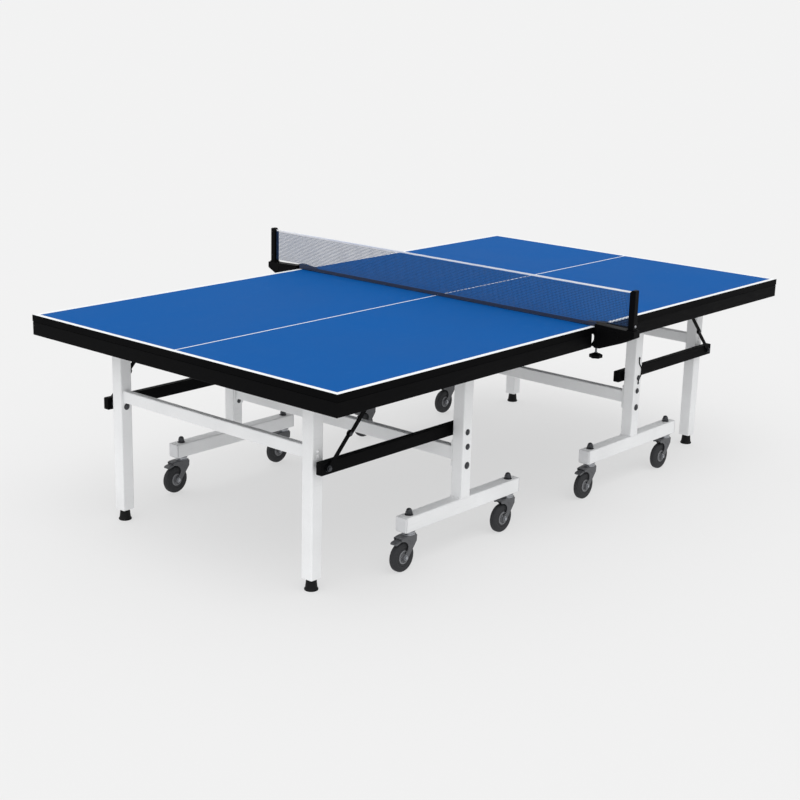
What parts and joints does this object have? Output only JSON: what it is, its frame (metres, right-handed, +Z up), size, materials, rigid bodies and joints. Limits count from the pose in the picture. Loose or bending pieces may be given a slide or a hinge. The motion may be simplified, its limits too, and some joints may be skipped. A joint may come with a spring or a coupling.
{
  "type": "ping pong table",
  "caption": "Table tennis table in two folding halves on castered T-frame trolleys, with upright end legs, link bars, elbow stays and a clamp-on net.",
  "frame": {"origin": "on the floor under the middle of the net, at the centre of the whole table", "axes": "+X along the table away from the left end, +Y across it from the near side to the far side, +Z up"},
  "size_m": [2.74, 1.872, 0.917],
  "materials": {
    "playing_surface": "matt blue paint on board, white lines, black edge band",
    "black_steel": "black powder coat, fine grain",
    "white_steel": "white powder coat, satin",
    "caster_body": "dark grey moulded nylon",
    "tyre": "dark grey tread, scuffed",
    "foot_plastic": "black moulded foot",
    "net_cloth": "fine grey mesh with a pale top band",
    "net_hardware": "black textured coat"
  },
  "bodies": {
    "left_trolley": {"left_near_t_frame": "white_steel", "left_far_t_frame": "white_steel", "left_post_crossbar": "white_steel"},
    "left_top": {"left_board": "playing_surface", "left_top_frame": "black_steel"},
    "left_legs": {"left_near_leg": "white_steel", "left_far_leg": "white_steel", "left_leg_crossbar": "white_steel"},
    "left_links": {"left_near_link_bar": "black_steel", "left_far_link_bar": "black_steel"},
    "left_lower_stays": {"left_near_lower_stay": "black_steel", "left_far_lower_stay": "black_steel"},
    "left_upper_stays": {"left_near_upper_stay": "black_steel", "left_far_upper_stay": "black_steel"},
    "left_near_foot": {"left_near_foot": "foot_plastic"},
    "left_near_inner_swivel": {"left_near_inner_fork": "caster_body"},
    "left_near_inner_wheel": {"left_near_inner_wheel": "tyre"},
    "left_near_outer_swivel": {"left_near_outer_fork": "caster_body"},
    "left_near_outer_wheel": {"left_near_outer_wheel": "tyre"},
    "left_near_outer_brake": {"left_near_outer_brake_pedal": "caster_body"},
    "left_far_foot": {"left_far_foot": "foot_plastic"},
    "left_far_inner_swivel": {"left_far_inner_fork": "caster_body"},
    "left_far_inner_wheel": {"left_far_inner_wheel": "tyre"},
    "left_far_outer_swivel": {"left_far_outer_fork": "caster_body"},
    "left_far_outer_wheel": {"left_far_outer_wheel": "tyre"},
    "left_far_outer_brake": {"left_far_outer_brake_pedal": "caster_body"},
    "right_trolley": {"right_near_t_frame": "white_steel", "right_far_t_frame": "white_steel", "right_post_crossbar": "white_steel"},
    "right_top": {"right_board": "playing_surface", "right_top_frame": "black_steel", "net": "net_cloth", "near_net_clamp": "net_hardware", "far_net_clamp": "net_hardware", "near_net_post": "net_hardware", "far_net_post": "net_hardware"},
    "right_legs": {"right_near_leg": "white_steel", "right_far_leg": "white_steel", "right_leg_crossbar": "white_steel"},
    "right_links": {"right_near_link_bar": "black_steel", "right_far_link_bar": "black_steel"},
    "right_lower_stays": {"right_near_lower_stay": "black_steel", "right_far_lower_stay": "black_steel"},
    "right_upper_stays": {"right_near_upper_stay": "black_steel", "right_far_upper_stay": "black_steel"},
    "right_near_foot": {"right_near_foot": "foot_plastic"},
    "right_near_inner_swivel": {"right_near_inner_fork": "caster_body"},
    "right_near_inner_wheel": {"right_near_inner_wheel": "tyre"},
    "right_near_inner_brake": {"right_near_inner_brake_pedal": "caster_body"},
    "right_near_outer_swivel": {"right_near_outer_fork": "caster_body"},
    "right_near_outer_wheel": {"right_near_outer_wheel": "tyre"},
    "right_far_foot": {"right_far_foot": "foot_plastic"},
    "right_far_inner_swivel": {"right_far_inner_fork": "caster_body"},
    "right_far_inner_wheel": {"right_far_inner_wheel": "tyre"},
    "right_far_inner_brake": {"right_far_inner_brake_pedal": "caster_body"},
    "right_far_outer_swivel": {"right_far_outer_fork": "caster_body"},
    "right_far_outer_wheel": {"right_far_outer_wheel": "tyre"},
    "near_clamp_screw": {"near_clamp_screw": "net_hardware"},
    "far_clamp_screw": {"far_clamp_screw": "net_hardware"}
  },
  "joints": [
    {"name": "left_fold", "type": "hinge", "parent": "left_trolley", "child": "left_top", "pos_m": [-0.497, 0, 0.7], "axis": [0, 1, 0], "range_deg": [0, 90]},
    {"name": "left_link_swing", "type": "hinge", "parent": "left_trolley", "child": "left_links", "pos_m": [-0.545, 0, 0.44], "axis": [0, 1, 0], "range_deg": [0, 90]},
    {"name": "left_leg_fold", "type": "hinge", "parent": "left_top", "child": "left_legs", "pos_m": [-1.142, 0, 0.7], "axis": [0, 1, 0], "range_deg": [-90, 0]},
    {"name": "left_lower_stay_turn", "type": "hinge", "parent": "left_links", "child": "left_lower_stays", "pos_m": [-1.19, 0, 0.44], "axis": [0, 1, 0], "range_deg": [0, 54.7]},
    {"name": "left_upper_stay_turn", "type": "hinge", "parent": "left_top", "child": "left_upper_stays", "pos_m": [-0.95, 0, 0.69], "axis": [0, 1, 0], "range_deg": [-118.6, 0]},
    {"name": "left_near_foot_level", "type": "slide", "parent": "left_legs", "child": "left_near_foot", "axis": [0, 0, -1], "range_m": [0, 0.012]},
    {"name": "left_near_inner_turn", "type": "hinge", "parent": "left_trolley", "child": "left_near_inner_swivel", "pos_m": [-0.267, -0.59, 0.13], "axis": [0, 0, 1], "continuous": true},
    {"name": "left_near_inner_roll", "type": "hinge", "parent": "left_near_inner_swivel", "child": "left_near_inner_wheel", "pos_m": [-0.301, -0.59, 0.054], "axis": [0, 1, 0], "continuous": true},
    {"name": "left_near_outer_turn", "type": "hinge", "parent": "left_trolley", "child": "left_near_outer_swivel", "pos_m": [-0.823, -0.59, 0.13], "axis": [0, 0, 1], "continuous": true},
    {"name": "left_near_outer_roll", "type": "hinge", "parent": "left_near_outer_swivel", "child": "left_near_outer_wheel", "pos_m": [-0.857, -0.59, 0.054], "axis": [0, 1, 0], "continuous": true},
    {"name": "left_near_outer_brake_press", "type": "hinge", "parent": "left_near_outer_swivel", "child": "left_near_outer_brake", "pos_m": [-0.839, -0.59, 0.1175], "axis": [0, -1, 0], "range_deg": [0, 6]},
    {"name": "left_far_foot_level", "type": "slide", "parent": "left_legs", "child": "left_far_foot", "axis": [0, 0, -1], "range_m": [0, 0.012]},
    {"name": "left_far_inner_turn", "type": "hinge", "parent": "left_trolley", "child": "left_far_inner_swivel", "pos_m": [-0.267, 0.59, 0.13], "axis": [0, 0, 1], "continuous": true},
    {"name": "left_far_inner_roll", "type": "hinge", "parent": "left_far_inner_swivel", "child": "left_far_inner_wheel", "pos_m": [-0.301, 0.59, 0.054], "axis": [0, 1, 0], "continuous": true},
    {"name": "left_far_outer_turn", "type": "hinge", "parent": "left_trolley", "child": "left_far_outer_swivel", "pos_m": [-0.823, 0.59, 0.13], "axis": [0, 0, 1], "continuous": true},
    {"name": "left_far_outer_roll", "type": "hinge", "parent": "left_far_outer_swivel", "child": "left_far_outer_wheel", "pos_m": [-0.857, 0.59, 0.054], "axis": [0, 1, 0], "continuous": true},
    {"name": "left_far_outer_brake_press", "type": "hinge", "parent": "left_far_outer_swivel", "child": "left_far_outer_brake", "pos_m": [-0.839, 0.59, 0.1175], "axis": [0, -1, 0], "range_deg": [0, 6]},
    {"name": "halves_apart", "type": "slide", "parent": "left_trolley", "child": "right_trolley", "axis": [1, 0, 0], "range_m": [0, 0.6]},
    {"name": "right_fold", "type": "hinge", "parent": "right_trolley", "child": "right_top", "pos_m": [0.497, 0, 0.7], "axis": [0, -1, 0], "range_deg": [0, 90], "deforming": ["net"]},
    {"name": "right_link_swing", "type": "hinge", "parent": "right_trolley", "child": "right_links", "pos_m": [0.545, 0, 0.44], "axis": [0, -1, 0], "range_deg": [0, 90]},
    {"name": "right_leg_fold", "type": "hinge", "parent": "right_top", "child": "right_legs", "pos_m": [1.142, 0, 0.7], "axis": [0, -1, 0], "range_deg": [-90, 0]},
    {"name": "right_lower_stay_turn", "type": "hinge", "parent": "right_links", "child": "right_lower_stays", "pos_m": [1.19, 0, 0.44], "axis": [0, -1, 0], "range_deg": [0, 54.7]},
    {"name": "right_upper_stay_turn", "type": "hinge", "parent": "right_top", "child": "right_upper_stays", "pos_m": [0.95, 0, 0.69], "axis": [0, -1, 0], "range_deg": [-118.6, 0]},
    {"name": "right_near_foot_level", "type": "slide", "parent": "right_legs", "child": "right_near_foot", "axis": [0, 0, -1], "range_m": [0, 0.012]},
    {"name": "right_near_inner_turn", "type": "hinge", "parent": "right_trolley", "child": "right_near_inner_swivel", "pos_m": [0.267, -0.59, 0.13], "axis": [0, 0, 1], "continuous": true},
    {"name": "right_near_inner_roll", "type": "hinge", "parent": "right_near_inner_swivel", "child": "right_near_inner_wheel", "pos_m": [0.233, -0.59, 0.054], "axis": [0, 1, 0], "continuous": true},
    {"name": "right_near_inner_brake_press", "type": "hinge", "parent": "right_near_inner_swivel", "child": "right_near_inner_brake", "pos_m": [0.251, -0.59, 0.1175], "axis": [0, -1, 0], "range_deg": [0, 6]},
    {"name": "right_near_outer_turn", "type": "hinge", "parent": "right_trolley", "child": "right_near_outer_swivel", "pos_m": [0.823, -0.59, 0.13], "axis": [0, 0, 1], "continuous": true},
    {"name": "right_near_outer_roll", "type": "hinge", "parent": "right_near_outer_swivel", "child": "right_near_outer_wheel", "pos_m": [0.789, -0.59, 0.054], "axis": [0, 1, 0], "continuous": true},
    {"name": "right_far_foot_level", "type": "slide", "parent": "right_legs", "child": "right_far_foot", "axis": [0, 0, -1], "range_m": [0, 0.012]},
    {"name": "right_far_inner_turn", "type": "hinge", "parent": "right_trolley", "child": "right_far_inner_swivel", "pos_m": [0.267, 0.59, 0.13], "axis": [0, 0, 1], "continuous": true},
    {"name": "right_far_inner_roll", "type": "hinge", "parent": "right_far_inner_swivel", "child": "right_far_inner_wheel", "pos_m": [0.233, 0.59, 0.054], "axis": [0, 1, 0], "continuous": true},
    {"name": "right_far_inner_brake_press", "type": "hinge", "parent": "right_far_inner_swivel", "child": "right_far_inner_brake", "pos_m": [0.251, 0.59, 0.1175], "axis": [0, -1, 0], "range_deg": [0, 6]},
    {"name": "right_far_outer_turn", "type": "hinge", "parent": "right_trolley", "child": "right_far_outer_swivel", "pos_m": [0.823, 0.59, 0.13], "axis": [0, 0, 1], "continuous": true},
    {"name": "right_far_outer_roll", "type": "hinge", "parent": "right_far_outer_swivel", "child": "right_far_outer_wheel", "pos_m": [0.789, 0.59, 0.054], "axis": [0, 1, 0], "continuous": true},
    {"name": "near_clamp_release", "type": "slide", "parent": "right_top", "child": "near_clamp_screw", "axis": [0, 0, -1], "range_m": [0, 0.012]},
    {"name": "far_clamp_release", "type": "slide", "parent": "right_top", "child": "far_clamp_screw", "axis": [0, 0, -1], "range_m": [0, 0.012]}
  ],
  "couplings": [
    {"joint": "left_link_swing", "follows": "left_fold", "ratio": 1},
    {"joint": "left_leg_fold", "follows": "left_fold", "ratio": -1},
    {"joint": "left_lower_stay_turn", "follows": "left_fold", "ratio": 0.6027},
    {"joint": "left_upper_stay_turn", "follows": "left_fold", "ratio": -1.3121},
    {"joint": "right_link_swing", "follows": "right_fold", "ratio": 1},
    {"joint": "right_leg_fold", "follows": "right_fold", "ratio": -1},
    {"joint": "right_lower_stay_turn", "follows": "right_fold", "ratio": 0.6027},
    {"joint": "right_upper_stay_turn", "follows": "right_fold", "ratio": -1.3121}
  ]
}
